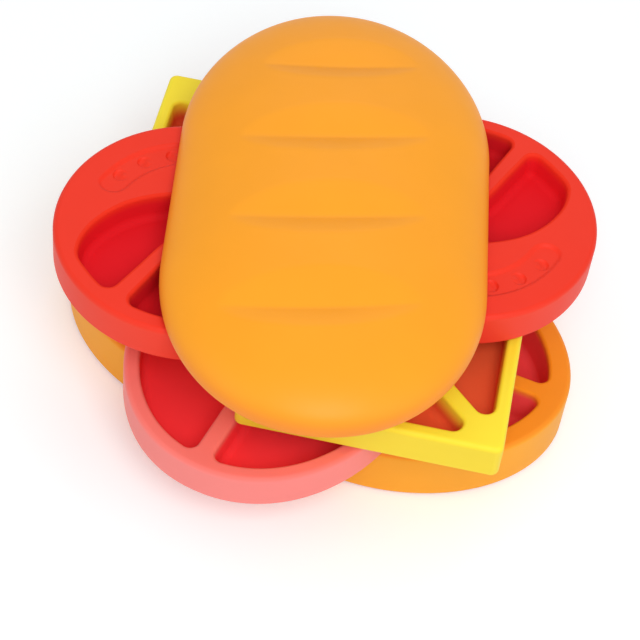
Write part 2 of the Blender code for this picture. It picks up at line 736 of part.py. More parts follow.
def main():
    clear_scene()
    parts = make_collection("sandwich_puzzle_feeder")
    cutters = make_collection("cutters")
    levels = layer_levels()
    plastics = {"base": make_material("base_plastic", BASE_ORANGE, 0.42),
                "ham": make_material("ham_plastic", HAM_PINK, 0.42),
                "cheese": make_material("cheese_plastic", CHEESE_YELLOW, 0.42),
                "tomato": make_material("tomato_plastic", TOMATO_RED, 0.42),
                "bun": make_material("bun_plastic", BUN_ORANGE, 0.48)}
    nylon = make_material("nylon", NYLON_WHITE, 0.5)
    steel = make_material("zinc_plated_steel", STEEL_GREY, 0.35, 1.0)
    rubber = make_material("rubber", RUBBER_GREY, 0.8)

    wells = {"base": oval_wells(base_edge(BASE_RIM), BASE_LENGTH, BASE_WIDTH),
             "ham": oval_wells(ham_edge(HAM_RIM), HAM_LENGTH, HAM_WIDTH),
             "cheese": slice_wells(),
             "tomato": tomato_wells(tomato_edge(TOMATO_RIM))}
    edges = {"base": base_edge, "ham": ham_edge, "cheese": cheese_edge, "tomato": tomato_edge}
    screws = {"base": places(CROSS_SHARES, BASE_LENGTH / 2, BASE_WIDTH / 2),
              "ham": places(CROSS_SHARES, HAM_LENGTH / 2, HAM_WIDTH / 2),
              "cheese": places(SLICE_SCREW_SHARES, SLICE_SPREAD / 2, SLICE_SIDE / math.sqrt(2)),
              "tomato": places(TOMATO_SCREW_SHARES, TOMATO_LENGTH / 2, TOMATO_WIDTH / 2),
              "bun": places(BUN_SCREW_SHARES, BUN_LENGTH / 2, BUN_WIDTH / 2)}
    turns = {"base": 0, "ham": HAM_TURN, "cheese": CHEESE_TURN, "tomato": TOMATO_TURN, "bun": BUN_TURN}
    carriers = {layer: make_carrier(layer + "_carrier", turn) for layer, turn in turns.items()}

    for layer, edge in edges.items():
        low = levels[layer]
        height = BASE_HEIGHT if layer == "base" else TRAY_HEIGHT
        tray = make_tray(layer + "_tray", low, height, edge(), edge(WALL), wells[layer], screws[layer],
                         parts, cutters, kidneys() if layer == "tomato" else ())
        bore = AXLE_RADIUS + CLEARANCE if layer == "base" else HUB_BORE
        cut(tray, slab(layer + "_bore", [ring(bore)], low - OVERRUN, low + height + OVERRUN, cutters))
        plate = make_plate(layer + "_plate", low, edge(WALL + CLEARANCE), screws[layer], parts,
                           cutters, PLATE_HOLE)
        if layer == "base":
            ceiling = AXLE_HEAD_RECESS + AXLE_HEAD_HEIGHT + WASHER + 2 * CLEARANCE
            cut(tray, slab("base_counterbore", [ring(WASHER_RADIUS + CLEARANCE)], low - OVERRUN,
                           low + ceiling, cutters))
            feet = places(FOOT_SHARES, BASE_LENGTH / 2, BASE_WIDTH / 2)
            pockets = [ring(FOOT_RADIUS + CLEARANCE, ROUND_SIDES, place) for place in feet]
            cut(plate, slab("base_foot_pockets", pockets, low - OVERRUN, low + FOOT_SEAT, cutters))
            for index, place in enumerate(feet):
                finish(make_foot(f"rubber_foot_{index + 1}", low, place, parts), rubber, carriers["base"])
        else:
            finish(make_bush(layer + "_bush", low, height, parts), nylon, carriers[layer])
        finish(tray, plastics[layer], carriers[layer])
        finish(plate, plastics[layer], carriers[layer])

    low = levels["bun"]
    finish(make_bun("bun_shell", low, parts, cutters, screws["bun"]), plastics["bun"], carriers["bun"])
    finish(make_bun_plate("bun_plate", low, screws["bun"], parts, cutters), plastics["bun"], carriers["bun"])
    finish(make_bush("bun_bush", low, BUN_HUB_HEIGHT, parts), nylon, carriers["bun"])
    for layer, spots in screws.items():
        for index, place in enumerate(spots):
            screw = make_screw(f"{layer}_plate_screw_{index + 1}", levels[layer] + CLEARANCE, place, parts)
            finish(screw, steel, carriers[layer])
    for piece in make_axle(levels["base"], low, parts):
        finish(piece, steel, carriers["base"])
    for cutter in cutters.objects:
        layer = cutter.name.split("_")[0]
        cutter.parent = carriers[layer]


main()
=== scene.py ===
"""Looks of the stacked sandwich puzzle feeder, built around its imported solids. Metres, +Z up."""
import math
from functools import partial

import bmesh
import bpy
import numpy as np
from mathutils import Matrix, Vector
from mathutils.geometry import intersect_line_line_2d


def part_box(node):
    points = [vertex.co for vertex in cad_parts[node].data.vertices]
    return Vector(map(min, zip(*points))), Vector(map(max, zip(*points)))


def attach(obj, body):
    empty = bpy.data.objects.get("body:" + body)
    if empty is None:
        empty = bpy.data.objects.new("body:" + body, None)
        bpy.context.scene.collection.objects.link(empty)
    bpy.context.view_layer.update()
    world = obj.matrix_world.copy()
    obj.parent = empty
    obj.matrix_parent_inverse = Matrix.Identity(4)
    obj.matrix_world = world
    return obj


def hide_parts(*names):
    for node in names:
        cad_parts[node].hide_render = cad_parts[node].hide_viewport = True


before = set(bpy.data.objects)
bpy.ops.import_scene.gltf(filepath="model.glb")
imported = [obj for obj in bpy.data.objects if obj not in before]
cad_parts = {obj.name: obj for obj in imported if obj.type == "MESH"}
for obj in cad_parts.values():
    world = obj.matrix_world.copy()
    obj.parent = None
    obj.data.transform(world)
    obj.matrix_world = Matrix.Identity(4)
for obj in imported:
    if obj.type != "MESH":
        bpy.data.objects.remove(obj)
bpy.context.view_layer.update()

MM = 0.001

# Plan of each layer
BASE = {"length": 237.2 * MM, "width": 133.4 * MM, "end_share": 0.70, "power": 1.93}
HAM = {"length": 236.2 * MM, "width": 126.4 * MM, "end_share": 0.69, "power": 2.08}
TOMATO = {"length": 235.0 * MM, "width": 121.2 * MM, "end_share": 0.50, "power": 1.98}
BUN = {"length": 240.0 * MM, "width": 135.8 * MM, "end_share": 0.68, "power": 2.05}
SLICE_SIDE = 111.0 * MM      # each of the two square cheese slices
SLICE_SPREAD = 99.0 * MM     # between the centres of the two slices
SLICE_CORNER = 3.6 * MM

# How far each layer is fanned out from the base, in degrees
TURNS = {"base": 0.0, "ham": 86.46, "cheese": -33.12, "tomato": 31.14, "bun": 108.90}

# Moulded shells
WALL = 2.2 * MM
WELL_FLOOR = 2.7 * MM
PLATE = 2.0 * MM
CLEARANCE = 0.3 * MM
BASE_RIM = 10.0 * MM         # deck between a well and the outer wall
HAM_RIM = 6.8 * MM
SLICE_RIM = 6.2 * MM
TOMATO_RIM = 8.2 * MM
RIB = 8.0 * MM               # deck between two wells
BASE_BAND = 40.0 * MM        # plain band across the middle, over the hub
WELL_CORNER = 4.5 * MM       # radius of a well's corners in plan
EDGE_FILLET = 2.4 * MM       # top outer edge of every tray
FOOT_FILLET = 0.8 * MM       # bottom outer edge
RIM_FILLET = 1.5 * MM        # where a well's wall meets the deck
FLOOR_FILLET = 3.5 * MM      # where a well's wall meets its floor
WELL_DRAFT = 0.8 * MM        # how much a well narrows from its rim to its floor
KIDNEY_DEPTH = 1.2 * MM
KIDNEY_SLOPE = 2.5 * MM      # width of the soft step round the kidney recess
KIDNEY_RIM = 11.0 * MM
KIDNEY_WIDTH = 14.2 * MM
KIDNEY_TAIL = 9.0 * MM
KIDNEY_END = -31             # degrees round the tray's end, where the kidney recess stops
SEEDS = 3                    # scooped seed dimples in each kidney recess
SEED_RADIUS = 3.6 * MM
SEED_DEPTH = 1.1 * MM
SEED_PITCH = 17.8            # degrees round the tray's end
SEED_START = -85

# Dome of the bun
DOME_LENGTH_POWER = 2.50
DOME_WIDTH_POWER = 1.78
DOME_RIM = 1.0 * MM          # short upright edge under the dome
SLASHES = 4
SLASH_PITCH = 47.0 * MM
SLASH_LENGTH = 82.0 * MM
SLASH_NEAR_SIDE = 11.0 * MM  # width of the rise on the near side of a slash
SLASH_BOTTOM = 0.6 * MM      # half the width of its narrow bottom
SLASH_FAR_SIDE = 18.0 * MM   # width of the long slope that leads down to it
SLASH_DEPTH = 3.4 * MM
SLASH_SHIFT = 0.6 * MM       # from the bun's middle to the middle of the row of bottoms
SLASH_OFFSET = 1.0 * MM
SLASH_SKEW = -7.6            # degrees
SLASH_BOW = 3.2 * MM         # how far the ends of a slash curve towards the far end
SLASH_TAPER_POWER = 0.6      # how the width of a slash closes towards its ends
SLASH_RISE_POWER = 1.3       # curve of the near side
SLASH_SLOPE_POWER = 1.15     # curve of the long far side
SLASH_PLATEAU = 88.0 * MM    # reach of the rows of points that run along the slashes
END_SLASH_SHARE = 0.84

# Axle, hubs and fasteners
AXLE_RADIUS = 4.0 * MM
BUSH_WALL = 1.8 * MM
HUB_RADIUS = 15.0 * MM
AXLE_HEAD_HEIGHT = 4.5 * MM
AXLE_CHAMFER = 0.7 * MM
SOCKET_RADIUS = 2.9 * MM     # hexagon socket in the axle's head, across its corners halved
SOCKET_DEPTH = 2.5 * MM
WASHER_RADIUS = 10.0 * MM
HEAD_SPACE = 6.8 * MM        # height of the room in the base's hub for the head and its washer
SCREW_RADIUS = 1.4 * MM
SCREW_HEAD_RADIUS = 2.7 * MM
SCREW_HEAD_HEIGHT = 1.5 * MM
SCREW_LENGTH = 10.0 * MM
CROSS_REACH = 1.6 * MM       # cross recess in a screw's head
CROSS_ARM = 0.8 * MM
CROSS_DEPTH = 1.1 * MM
POST_RADIUS = 3.8 * MM       # posts inside the bun, for its plate's screws
HUB_BORE = AXLE_RADIUS + BUSH_WALL + 2 * CLEARANCE
PILOT_RADIUS = SCREW_RADIUS + CLEARANCE

# Places, as shares of a layer's half length and half width
CROSS_SHARES = [(0.62, 0.0), (0.0, 0.64), (-0.62, 0.0), (0.0, -0.64)]
TOMATO_SCREW_SHARES = [(0.715, 0.436), (0.51, -0.445), (-0.715, -0.436), (-0.51, 0.445)]
SLICE_SCREW_SHARES = [(1, 0.84), (-1, 0.84), (-1, -0.84), (1, -0.84)]
BUN_SCREW_SHARES = [(0.52, 0.21), (-0.52, 0.21), (-0.52, -0.21), (0.52, -0.21)]
WEDGE_SHARES = [(0.19, -0.29), (0.56, -0.297), (0.63, -0.29), (0.68, -0.27), (0.73, -0.237),
                (0.78, -0.185), (0.825, -0.12), (0.863, -0.047), (0.890, 0.025), (0.909, 0.10),
                (0.919, 0.18), (0.921, 0.26), (0.915, 0.34), (0.900, 0.425), (0.879, 0.51),
                (0.849, 0.606), (0.61, 0.135), (0.56, 0.07), (0.19, 0.07)]
SPUR_SHARES = [(0.19, 0.24), (0.53, 0.24), (0.60, 0.286), (0.93, 1.01), (0.90, 1.20), (0.19, 1.20)]
POCKET_SHARES = [(0.12, 0.42), (0.12, 1.20), (-0.41, 1.20), (-0.335, 0.42)]

# Steps of the curves
OUTLINE_STEPS = 44           # on each quarter of a round end
CORNER_STEPS = 9
FILLET_STEPS = 6
ROUND_SIDES = 64
DOME_STATIONS = 320          # along the bun
DOME_COLUMNS = 130           # across it
HUB_STEPS = 10
SEED_SIDES = 40
# From a dimple's rim to its middle: radius and depth, as shares of the dimple's own
SEED_SECTION_SHARES = [(1.0, 0.0), (0.96, 0.06), (0.91, 0.24), (0.86, 0.52), (0.80, 0.80),
                       (0.70, 0.95), (0.50, 1.0), (0.25, 1.0)]
WELD = 1e-6

# Colours of each tray: its deck, its outer walls and its wells. The outer walls' colour is painted light
# and shade on upright faces; the wells' colour is painted shade and painted reflected light
TRAY_COLOURS = {"base": ("#FC9420", "#FDAB30", "#FF5256"), "ham": ("#F97B71", "#FC8B86", "#FF3C42"),
                "cheese": ("#FEEA38", "#F8DD3C", "#EC6238"), "tomato": ("#F03620", "#F4432F", "#E41C26")}
# The bun's top and its upright sides; the side colour is painted shade on upright faces
BUN_COLOURS = ("#FDA31B", "#F7922A")
# Depth below a well's rim over which the deck's colour turns to the well's painted shade
WELL_SHADE_REACH = {"base": 5.0 * MM, "ham": 5.0 * MM, "cheese": 9.5 * MM, "tomato": 5.0 * MM}
CLOUD_SPAN = 22.0 * MM       # slow drift of a moulding's colour
WEAR_SPAN = 9.0 * MM         # patches of more and less shine
TOOL_GRAIN = 0.7 * MM        # fine grain left by the mould, drawn coarser than the real one to show
GRAIN_HEIGHT = 0.05 * MM
HARDWARE_GRAIN = 0.5 * MM

# Camera, found from the outlines in the photograph
FRAME_PIXELS = 640
FOCAL_PIXELS = 2001.9
PIVOT_PIXEL = (316.2, 342.8)
CAMERA_DISTANCE = 919.5 * MM
CAMERA_ELEVATION = 50.06
CAMERA_AZIMUTH = 17.13
CAMERA_ROLL = 7.36

# Studio: bearing from the camera's side and elevation in degrees, distance, size and strength
LAMPS = {"key": (12, 51, 1.5, 0.8, 0.46), "left_fill": (-62, 30, 1.4, 0.8, 0.09),
         "right_fill": (60, 30, 1.4, 0.8, 0.09), "back_fill": (180, 50, 1.5, 0.9, 0.09)}
WORLD_LIGHT = 0.51
FLOOR_RADIUS = 450.0 * MM


# Flat outlines, each a list of (x, y) points running anticlockwise

def spread(points, distance):
    """Move every edge of an outline outward by a distance, or inward where it is negative."""
    moved = []
    for index, (x, y) in enumerate(points):
        before = points[index - 1]
        after = points[(index + 1) % len(points)]
        first = math.atan2(y - before[1], x - before[0])
        second = math.atan2(after[1] - y, after[0] - x)
        half = ((second - first + math.pi) % math.tau - math.pi) / 2
        normal = first + half - math.pi / 2
        reach = distance / max(math.cos(half), 0.5)
        moved.append((x + reach * math.cos(normal), y + reach * math.sin(normal)))
    return moved


def inset_of(points, distance):
    """An outline drawn in by a distance. A corner too tight for it becomes a single point."""
    drawn = spread(points, -distance)
    total = len(drawn)
    for first in range(total):
        for second in range(first + 3 * CORNER_STEPS, first + 1, -1):
            a, b, c, d = (drawn[index % total] for index in (first, first + 1, second, second + 1))
            if math.dist(a, b) < WELD or math.dist(c, d) < WELD:
                continue
            crossing = intersect_line_line_2d(a, b, c, d)
            if crossing:
                for index in range(first + 1, second + 1):
                    drawn[index % total] = tuple(crossing)
                break
    return drawn


def oval(plan, inset=0.0):
    """Straight sides with a round end at each side, drawn in by the inset."""
    end = plan["length"] / 2 * plan["end_share"]
    start = plan["length"] / 2 - end
    quarter = []
    for step in range(OUTLINE_STEPS + 1):
        angle = math.radians(90) * step / OUTLINE_STEPS
        quarter.append((start + end * math.cos(angle) ** (2 / plan["power"]),
                        plan["width"] / 2 * math.sin(angle) ** (2 / plan["power"])))
    upper = quarter + [(-x, y) for x, y in reversed(quarter)]
    lower = [(x, -y) for x, y in reversed(upper[1:-1])]
    return spread(upper + lower, -inset)


def cheese_edge(inset=0.0):
    """Two square slices turned corner to corner, so that they overlap in the middle."""
    reach = (SLICE_SIDE / 2 - inset) * math.sqrt(2)
    centre = SLICE_SPREAD / 2
    corners = [(centre + reach, 0), (centre, reach), (0, reach - centre), (-centre, reach),
               (-centre - reach, 0), (-centre, -reach), (0, centre - reach), (centre, -reach)]
    return soften(corners, max(SLICE_CORNER - inset, SLICE_CORNER / 2))


def ring(radius, sides=ROUND_SIDES, centre=(0, 0)):
    return [(centre[0] + radius * math.cos(math.tau * step / sides),
             centre[1] + radius * math.sin(math.tau * step / sides)) for step in range(sides)]


def clip(points, limit):
    """Keep the part of an outline that lies inside a convex limit outline."""
    kept = points
    for index, start in enumerate(limit):
        end = limit[(index + 1) % len(limit)]
        along = (end[0] - start[0], end[1] - start[1])
        source = kept
        kept = []
        for place, point in enumerate(source):
            last = source[place - 1]
            side = along[0] * (point[1] - start[1]) - along[1] * (point[0] - start[0])
            last_side = along[0] * (last[1] - start[1]) - along[1] * (last[0] - start[0])
            if (side >= 0) != (last_side >= 0):
                share = last_side / (last_side - side)
                kept.append(tuple(a + (b - a) * share for a, b in zip(last, point)))
            if side >= 0:
                kept.append(point)
    return kept


def soften(points, radius=WELL_CORNER):
    """Round every sharp corner of an outline, along curved sides as well as straight ones."""
    points = [point for index, point in enumerate(points)
              if math.dist(point, points[index - 1]) > WELD]
    total = len(points)
    stations = [0.0]
    for index in range(total):
        stations.append(stations[-1] + math.dist(points[index], points[(index + 1) % total]))
    loop = stations.pop()

    def place_at(distance):
        distance %= loop
        index = max(i for i in range(total) if stations[i] <= distance)
        start, end = points[index], points[(index + 1) % total]
        share = (distance - stations[index]) / math.dist(start, end)
        return tuple(a + (b - a) * share for a, b in zip(start, end))

    def turn_at(index):
        (x, y), before, after = points[index], points[index - 1], points[(index + 1) % total]
        first = math.atan2(y - before[1], x - before[0])
        second = math.atan2(after[1] - y, after[0] - x)
        return (second - first + math.pi) % math.tau - math.pi

    corners = [index for index in range(total) if abs(turn_at(index)) > math.radians(6)]
    reaches = [radius * math.tan(abs(turn_at(corner)) / 2)
               if abs(turn_at(corner)) > math.radians(25) else loop for corner in corners]
    gaps = [(stations[corners[(i + 1) % len(corners)]] - stations[corner]) % loop or loop
            for i, corner in enumerate(corners)]
    result = []
    for i, corner in enumerate(corners):
        before = min(reaches[i], gaps[i - 1] / 2.1)
        after = min(reaches[i], gaps[i] / 2.1)
        result += turn_between(place_at, stations[corner] - before, stations[corner] + after)
        stop = gaps[i] - min(reaches[(i + 1) % len(corners)], gaps[i] / 2.1)
        between = [(stations[index] - stations[corner]) % loop for index in range(total)]
        result += [points[index] for index in sorted(range(total), key=between.__getitem__)
                   if after + WELD < between[index] < stop - WELD]
    return result


def turn_between(place_at, start, end):
    """A near-circular turn between two places on an outline, leaving each along the outline."""
    a, b = Vector(place_at(start)), Vector(place_at(end))
    nudge = (end - start) / 50
    leave = (a - Vector(place_at(start - nudge))).normalized()
    arrive = (Vector(place_at(end + nudge)) - b).normalized()
    turn = max(abs(leave.angle_signed(arrive, 0.0)), math.radians(1))
    handle = (b - a).length * 2 / 3 * math.tan(turn / 4) / math.sin(turn / 2)
    points = []
    for step in range(CORNER_STEPS + 1):
        t = step / CORNER_STEPS
        point = ((1 - t) ** 3 * a + 3 * t * (1 - t) ** 2 * (a + leave * handle)
                 + 3 * t ** 2 * (1 - t) * (b - arrive * handle) + t ** 3 * b)
        points.append((point.x, point.y))
    return points


def clear_hub(points):
    """Push an outline's points out of the hub, so that the well bends round it."""
    keep_out = HUB_RADIUS + WALL
    pushed = []
    for index, (x, y) in enumerate(points):
        after = points[(index + 1) % len(points)]
        run_x, run_y = after[0] - x, after[1] - y
        nearest = max(0.0, min(1.0, -(x * run_x + y * run_y) / (run_x ** 2 + run_y ** 2)))
        passes = math.hypot(x + run_x * nearest, y + run_y * nearest) < keep_out
        steps = math.ceil(math.hypot(run_x, run_y) / keep_out * HUB_STEPS) if passes else 1
        for step in range(steps):
            spot_x, spot_y = x + run_x * step / steps, y + run_y * step / steps
            scale = max(1.0, keep_out / math.hypot(spot_x, spot_y))
            pushed.append((spot_x * scale, spot_y * scale))
    return pushed


def half_turn(points):
    return [(-x, -y) for x, y in points]


def oval_wells(plan, rim):
    """Four wells, each in a quarter of the oval, with a plain band over the hub."""
    limit = oval(plan, rim)
    wells = []
    for side in (1, -1):
        for end in (1, -1):
            far_x, far_y = end * plan["length"], side * plan["width"]
            near_x, near_y = end * BASE_BAND / 2, side * RIB / 2
            corners = [(near_x, near_y), (far_x, near_y), (far_x, far_y), (near_x, far_y)]
            if end * side < 0:
                corners.reverse()
            wells.append(soften(clip(corners, limit)))
    return wells


def slice_wells():
    """Four wells in each cheese slice, between ribs that cross at its centre."""
    reach = (SLICE_SIDE / 2 - SLICE_RIM) * math.sqrt(2)
    centre = SLICE_SPREAD / 2
    rib = RIB / 2
    outer = [(centre + rib, rib), (centre + reach - rib, rib), (centre + rib, reach - rib)]
    inner = [(RIB, rib), (centre - rib, rib), (centre - rib, reach - rib),
             (RIB, reach - centre + RIB)]
    wells = []
    for shape in (soften(outer), soften(clear_hub(inner))):
        mirrored = [(x, -y) for x, y in reversed(shape)]
        wells += [shape, half_turn(shape), mirrored, half_turn(mirrored)]
    return wells


def tomato_wells():
    """Three chambers on each side of the axle, parted by slanting ribs."""
    limit = oval(TOMATO, TOMATO_RIM)
    wells = []
    for shares in (WEDGE_SHARES, SPUR_SHARES, POCKET_SHARES):
        corners = [(x * TOMATO["length"] / 2, y * TOMATO["width"] / 2) for x, y in shares]
        shape = soften(clip(corners, limit))
        wells += [shape, half_turn(shape)]
    return wells


def kidney_band(inset):
    """One long side of the kidney recess, at a distance from the tray's edge."""
    start = TOMATO["length"] / 2 * (1 - TOMATO["end_share"])
    bent = [(x, y) for x, y in oval(TOMATO, inset)
            if y < 0 and x > start - WELD and math.degrees(math.atan2(y, x - start)) < KIDNEY_END]
    return [(start - KIDNEY_TAIL, inset - TOMATO["width"] / 2)] + sorted(bent)


def kidneys():
    """The curved shallow recess near each end of the tomato tray, parallel to its edge."""
    shape = soften(kidney_band(KIDNEY_RIM) + kidney_band(KIDNEY_RIM + KIDNEY_WIDTH)[::-1],
                   KIDNEY_WIDTH / 2)
    return [shape, half_turn(shape)]


def places(shares, half_length, half_width):
    return [(x * half_length, y * half_width) for x, y in shares]


# Skins

class Skin:
    """A moulding's surface, built ring by ring and closed with flat faces."""

    def __init__(self):
        self.shape = bmesh.new()

    def ring(self, points, height):
        """A vertex for each point. Points that lie together share one."""
        verts = []
        for place, (x, y) in enumerate(points):
            if place and math.dist((x, y), points[place - 1]) < WELD:
                verts.append(verts[-1])
            elif place == len(points) - 1 and math.dist((x, y), points[0]) < WELD:
                verts.append(verts[0])
            else:
                verts.append(self.shape.verts.new((x, y, height)))
        return verts

    def walls(self, rings, slot=0):
        for lower, upper in zip(rings, rings[1:]):
            for index in range(len(lower)):
                following = (index + 1) % len(lower)
                corners = list(dict.fromkeys((lower[index], lower[following],
                                              upper[following], upper[index])))
                if len(corners) > 2:
                    self.shape.faces.new(corners).material_index = slot

    def flat(self, rings, slot=0):
        """Close the flat area between one outer ring and any rings inside it."""
        edges = []
        for verts in rings:
            verts = list(dict.fromkeys(verts))
            for index, vert in enumerate(verts):
                pair = (vert, verts[(index + 1) % len(verts)])
                edges.append(self.shape.edges.get(pair) or self.shape.edges.new(pair))
        filled = bmesh.ops.triangle_fill(self.shape, edges=edges, use_beauty=True,
                                         use_dissolve=False, normal=(0, 0, 1))
        for face in filled["geom"]:
            if isinstance(face, bmesh.types.BMFace):
                face.material_index = slot

    def fillet(self, outline, level, radius, inward, rise):
        """Rings of a rounded edge, from the flat side of it to the wall side."""
        rings = []
        for step in range(FILLET_STEPS + 1):
            angle = math.radians(90) * step / FILLET_STEPS
            inset = inward * radius * (1 - math.sin(angle))
            height = level + rise * radius * (1 - math.cos(angle))
            rings.append(self.ring(inset_of(outline, inset), height))
        return rings

    def finish(self, name, materials, turn=0.0):
        bmesh.ops.recalc_face_normals(self.shape, faces=self.shape.faces)
        bmesh.ops.rotate(self.shape, verts=self.shape.verts,
                         matrix=Matrix.Rotation(math.radians(turn), 3, "Z"))
        mesh = bpy.data.meshes.new(name)
        self.shape.to_mesh(mesh)
        self.shape.free()
        piece = bpy.data.objects.new(name, mesh)
        bpy.context.scene.collection.objects.link(piece)
        for material in materials:
            mesh.materials.append(material)
        mesh.shade_smooth()
        mesh.set_sharp_from_angle(angle=math.radians(40))
        weighted = piece.modifiers.new("even_shading", "WEIGHTED_NORMAL")
        weighted.keep_sharp = True
        return piece


def well_skin(skin, outline, high, floor):
    """One well, with a rounded rim and a rounded floor. Returns the ring that the deck meets."""
    rim = skin.fillet(outline, high, RIM_FILLET, -1, -1)
    foot = skin.fillet(inset_of(outline, WELL_DRAFT), floor, FLOOR_FILLET, 1, 1)
    skin.walls(rim, 1)
    skin.walls([rim[-1], foot[-1]], 1)
    skin.walls(foot, 1)
    skin.flat([foot[0]], 1)
    return rim[0]


def recess_skin(skin, outline, high, seeds):
    """A shallow recess with a soft step and scooped seed dimples, in the deck's own colour."""
    slope = []
    for step in range(2 * FILLET_STEPS + 1):
        share = step / (2 * FILLET_STEPS)
        drop = KIDNEY_DEPTH * (0.5 - 0.5 * math.cos(math.pi * share))
        slope.append(skin.ring(inset_of(outline, KIDNEY_SLOPE * share), high - drop))
    skin.walls(slope)
    skin.flat([slope[-1]] + [seed_skin(skin, place, high - KIDNEY_DEPTH) for place in seeds])
    return slope[0]


def seed_skin(skin, place, level):
    """A scooped dimple: steep at the end that points away from the middle of the tray."""
    outward = math.copysign(1, place[0])
    rings = []
    for shrink, sink in SEED_SECTION_SHARES:
        verts = []
        for step in range(SEED_SIDES):
            angle = math.tau * step / SEED_SIDES
            lean = (0.5 + 0.5 * math.cos(angle) * outward) ** 0.8
            verts.append(skin.shape.verts.new((place[0] + SEED_RADIUS * shrink * math.cos(angle),
                                               place[1] + SEED_RADIUS * shrink * math.sin(angle),
                                               level - SEED_DEPTH * sink * lean)))
        rings.append(verts)
    skin.walls(rings)
    skin.flat([rings[-1]])
    return rings[0]


def seed_places():
    """The dimples' places: along the kidney recess at the tray's east end, then its half turn."""
    start = TOMATO["length"] / 2 * (1 - TOMATO["end_share"])
    radius = TOMATO["width"] / 2 - KIDNEY_RIM - KIDNEY_WIDTH / 2
    east = [(start + radius * math.cos(math.radians(SEED_START + SEED_PITCH * index)),
             radius * math.sin(math.radians(SEED_START + SEED_PITCH * index)))
            for index in range(SEEDS)]
    return [east, half_turn(east)]


def tray_skin(layer, edge, wells, screws, materials, recesses=()):
    """A moulded tray: rounded outer edges, a deck with wells, and a ledge below for its plate."""
    low, high = (corner.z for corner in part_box(layer + "_tray"))
    ledge = low + PLATE + CLEARANCE
    skin = Skin()
    top = skin.fillet(edge(), high, EDGE_FILLET, 1, -1)
    bottom = skin.fillet(edge(), low, FOOT_FILLET, 1, 1)
    skin.walls(top)
    skin.walls([top[-1], bottom[-1]])
    skin.walls(bottom)
    seat = [skin.ring(edge(WALL), height) for height in (low, ledge)]
    skin.flat([bottom[0], seat[0]])
    skin.walls(seat)
    hub = [skin.ring(ring(HUB_RADIUS), height) for height in (ledge, low)]
    skin.walls(hub)
    steps = [(HUB_BORE, low), (HUB_BORE, high)]
    if layer == "base":
        steps = [(WASHER_RADIUS + CLEARANCE, low), (WASHER_RADIUS + CLEARANCE, low + HEAD_SPACE),
                 (AXLE_RADIUS + CLEARANCE, low + HEAD_SPACE), (AXLE_RADIUS + CLEARANCE, high)]
    bore = [skin.ring(ring(radius), height) for radius, height in steps]
    skin.walls(bore)
    skin.flat([hub[1], bore[0]])
    pilots = []
    for place in screws:
        pilot = [skin.ring(ring(PILOT_RADIUS, 16, place), height)
                 for height in (ledge, low + SCREW_LENGTH + 2 * CLEARANCE)]
        skin.walls(pilot)
        skin.flat([pilot[1]])
        pilots.append(pilot[0])
    skin.flat([seat[1], hub[0]] + pilots)
    rims = [well_skin(skin, well, high, ledge + WELL_FLOOR) for well in wells]
    rims += [recess_skin(skin, recess, high, seeds) for recess, seeds in recesses]
    skin.flat([top[0], bore[-1]] + rims)
    piece = skin.finish(layer + "_moulding", materials, TURNS[layer])
    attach(piece, layer)
    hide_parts(layer + "_tray")
    return piece


def dome_rise(x, y, plan, height):
    """Height of the dome over points in its plan, by halving. Works on whole arrays."""
    low = np.zeros_like(x)
    high = np.ones_like(x)
    for _ in range(40):
        middle = (low + high) / 2
        half_length = plan["length"] / 2 * (1 - middle ** DOME_LENGTH_POWER) ** (1 / DOME_LENGTH_POWER)
        half_width = plan["width"] / 2 * (1 - middle ** DOME_WIDTH_POWER) ** (1 / DOME_WIDTH_POWER)
        end = half_length * plan["end_share"] + WELD
        past = np.maximum(0.0, np.abs(x) - (half_length - end)) / end
        inside = past ** plan["power"] + (np.abs(y) / (half_width + WELD)) ** plan["power"] < 1
        low = np.where(inside, middle, low)
        high = np.where(inside, high, middle)
    return low * height


def slash_bend(y):
    """How far a full slash runs towards the far end, at a place across the bun."""
    across_bun = y - SLASH_OFFSET
    along = np.clip(np.abs(across_bun) / (SLASH_LENGTH / 2), 0, 1)
    return across_bun * math.tan(math.radians(SLASH_SKEW)) + SLASH_BOW * along ** 2


def slash_depth(x, y):
    """How deep the scored slashes are: a long soft slope, a narrow bottom and a shorter rise."""
    depth = np.zeros_like(x)
    for index in range(SLASHES):
        length = SLASH_LENGTH * (END_SLASH_SHARE if index == SLASHES - 1 else 1)
        along = np.clip(np.abs(y - SLASH_OFFSET) / (length / 2), 0, 1)
        swell = 1 - along ** 2
        middle = SLASH_SHIFT + (index - (SLASHES - 1) / 2) * SLASH_PITCH + slash_bend(y)
        spot = (x - middle) / (swell ** SLASH_TAPER_POWER + WELD)
        rise = 1 - np.clip((-spot - SLASH_BOTTOM) / SLASH_NEAR_SIDE, 0, 1)
        slope = 1 - np.clip((spot - SLASH_BOTTOM) / SLASH_FAR_SIDE, 0, 1)
        cut = rise ** SLASH_RISE_POWER * slope ** SLASH_SLOPE_POWER
        depth = np.maximum(depth, SLASH_DEPTH * swell * cut)
    return depth


def dome_grid(plan, height, base_z):
    """Rows of points over the dome, each row a line across the bun. The first and last are tips."""
    half = plan["length"] / 2
    end = half * plan["end_share"]
    rows = []
    for station in range(DOME_STATIONS + 1):
        x = -half * math.cos(math.pi * station / DOME_STATIONS)
        past = max(0.0, abs(x) - (half - end)) / end
        half_width = plan["width"] / 2 * max(0.0, 1 - past ** plan["power"]) ** (1 / plan["power"])
        if half_width < WELD:
            rows.append(np.array([[x, 0.0, base_z]]))
            continue
        angle = np.linspace(-np.pi / 2, np.pi / 2, DOME_COLUMNS)
        y = half_width * np.sin(angle)
        ease = min(1.0, (half - abs(x)) / (half - SLASH_PLATEAU))
        across = x + slash_bend(y) * ease * (1 - (y / half_width) ** 4)
        z = dome_rise(across, y, plan, height) - slash_depth(across, y)
        z[0] = z[-1] = 0.0
        rows.append(np.stack([across, y, z + base_z], axis=1))
    return rows


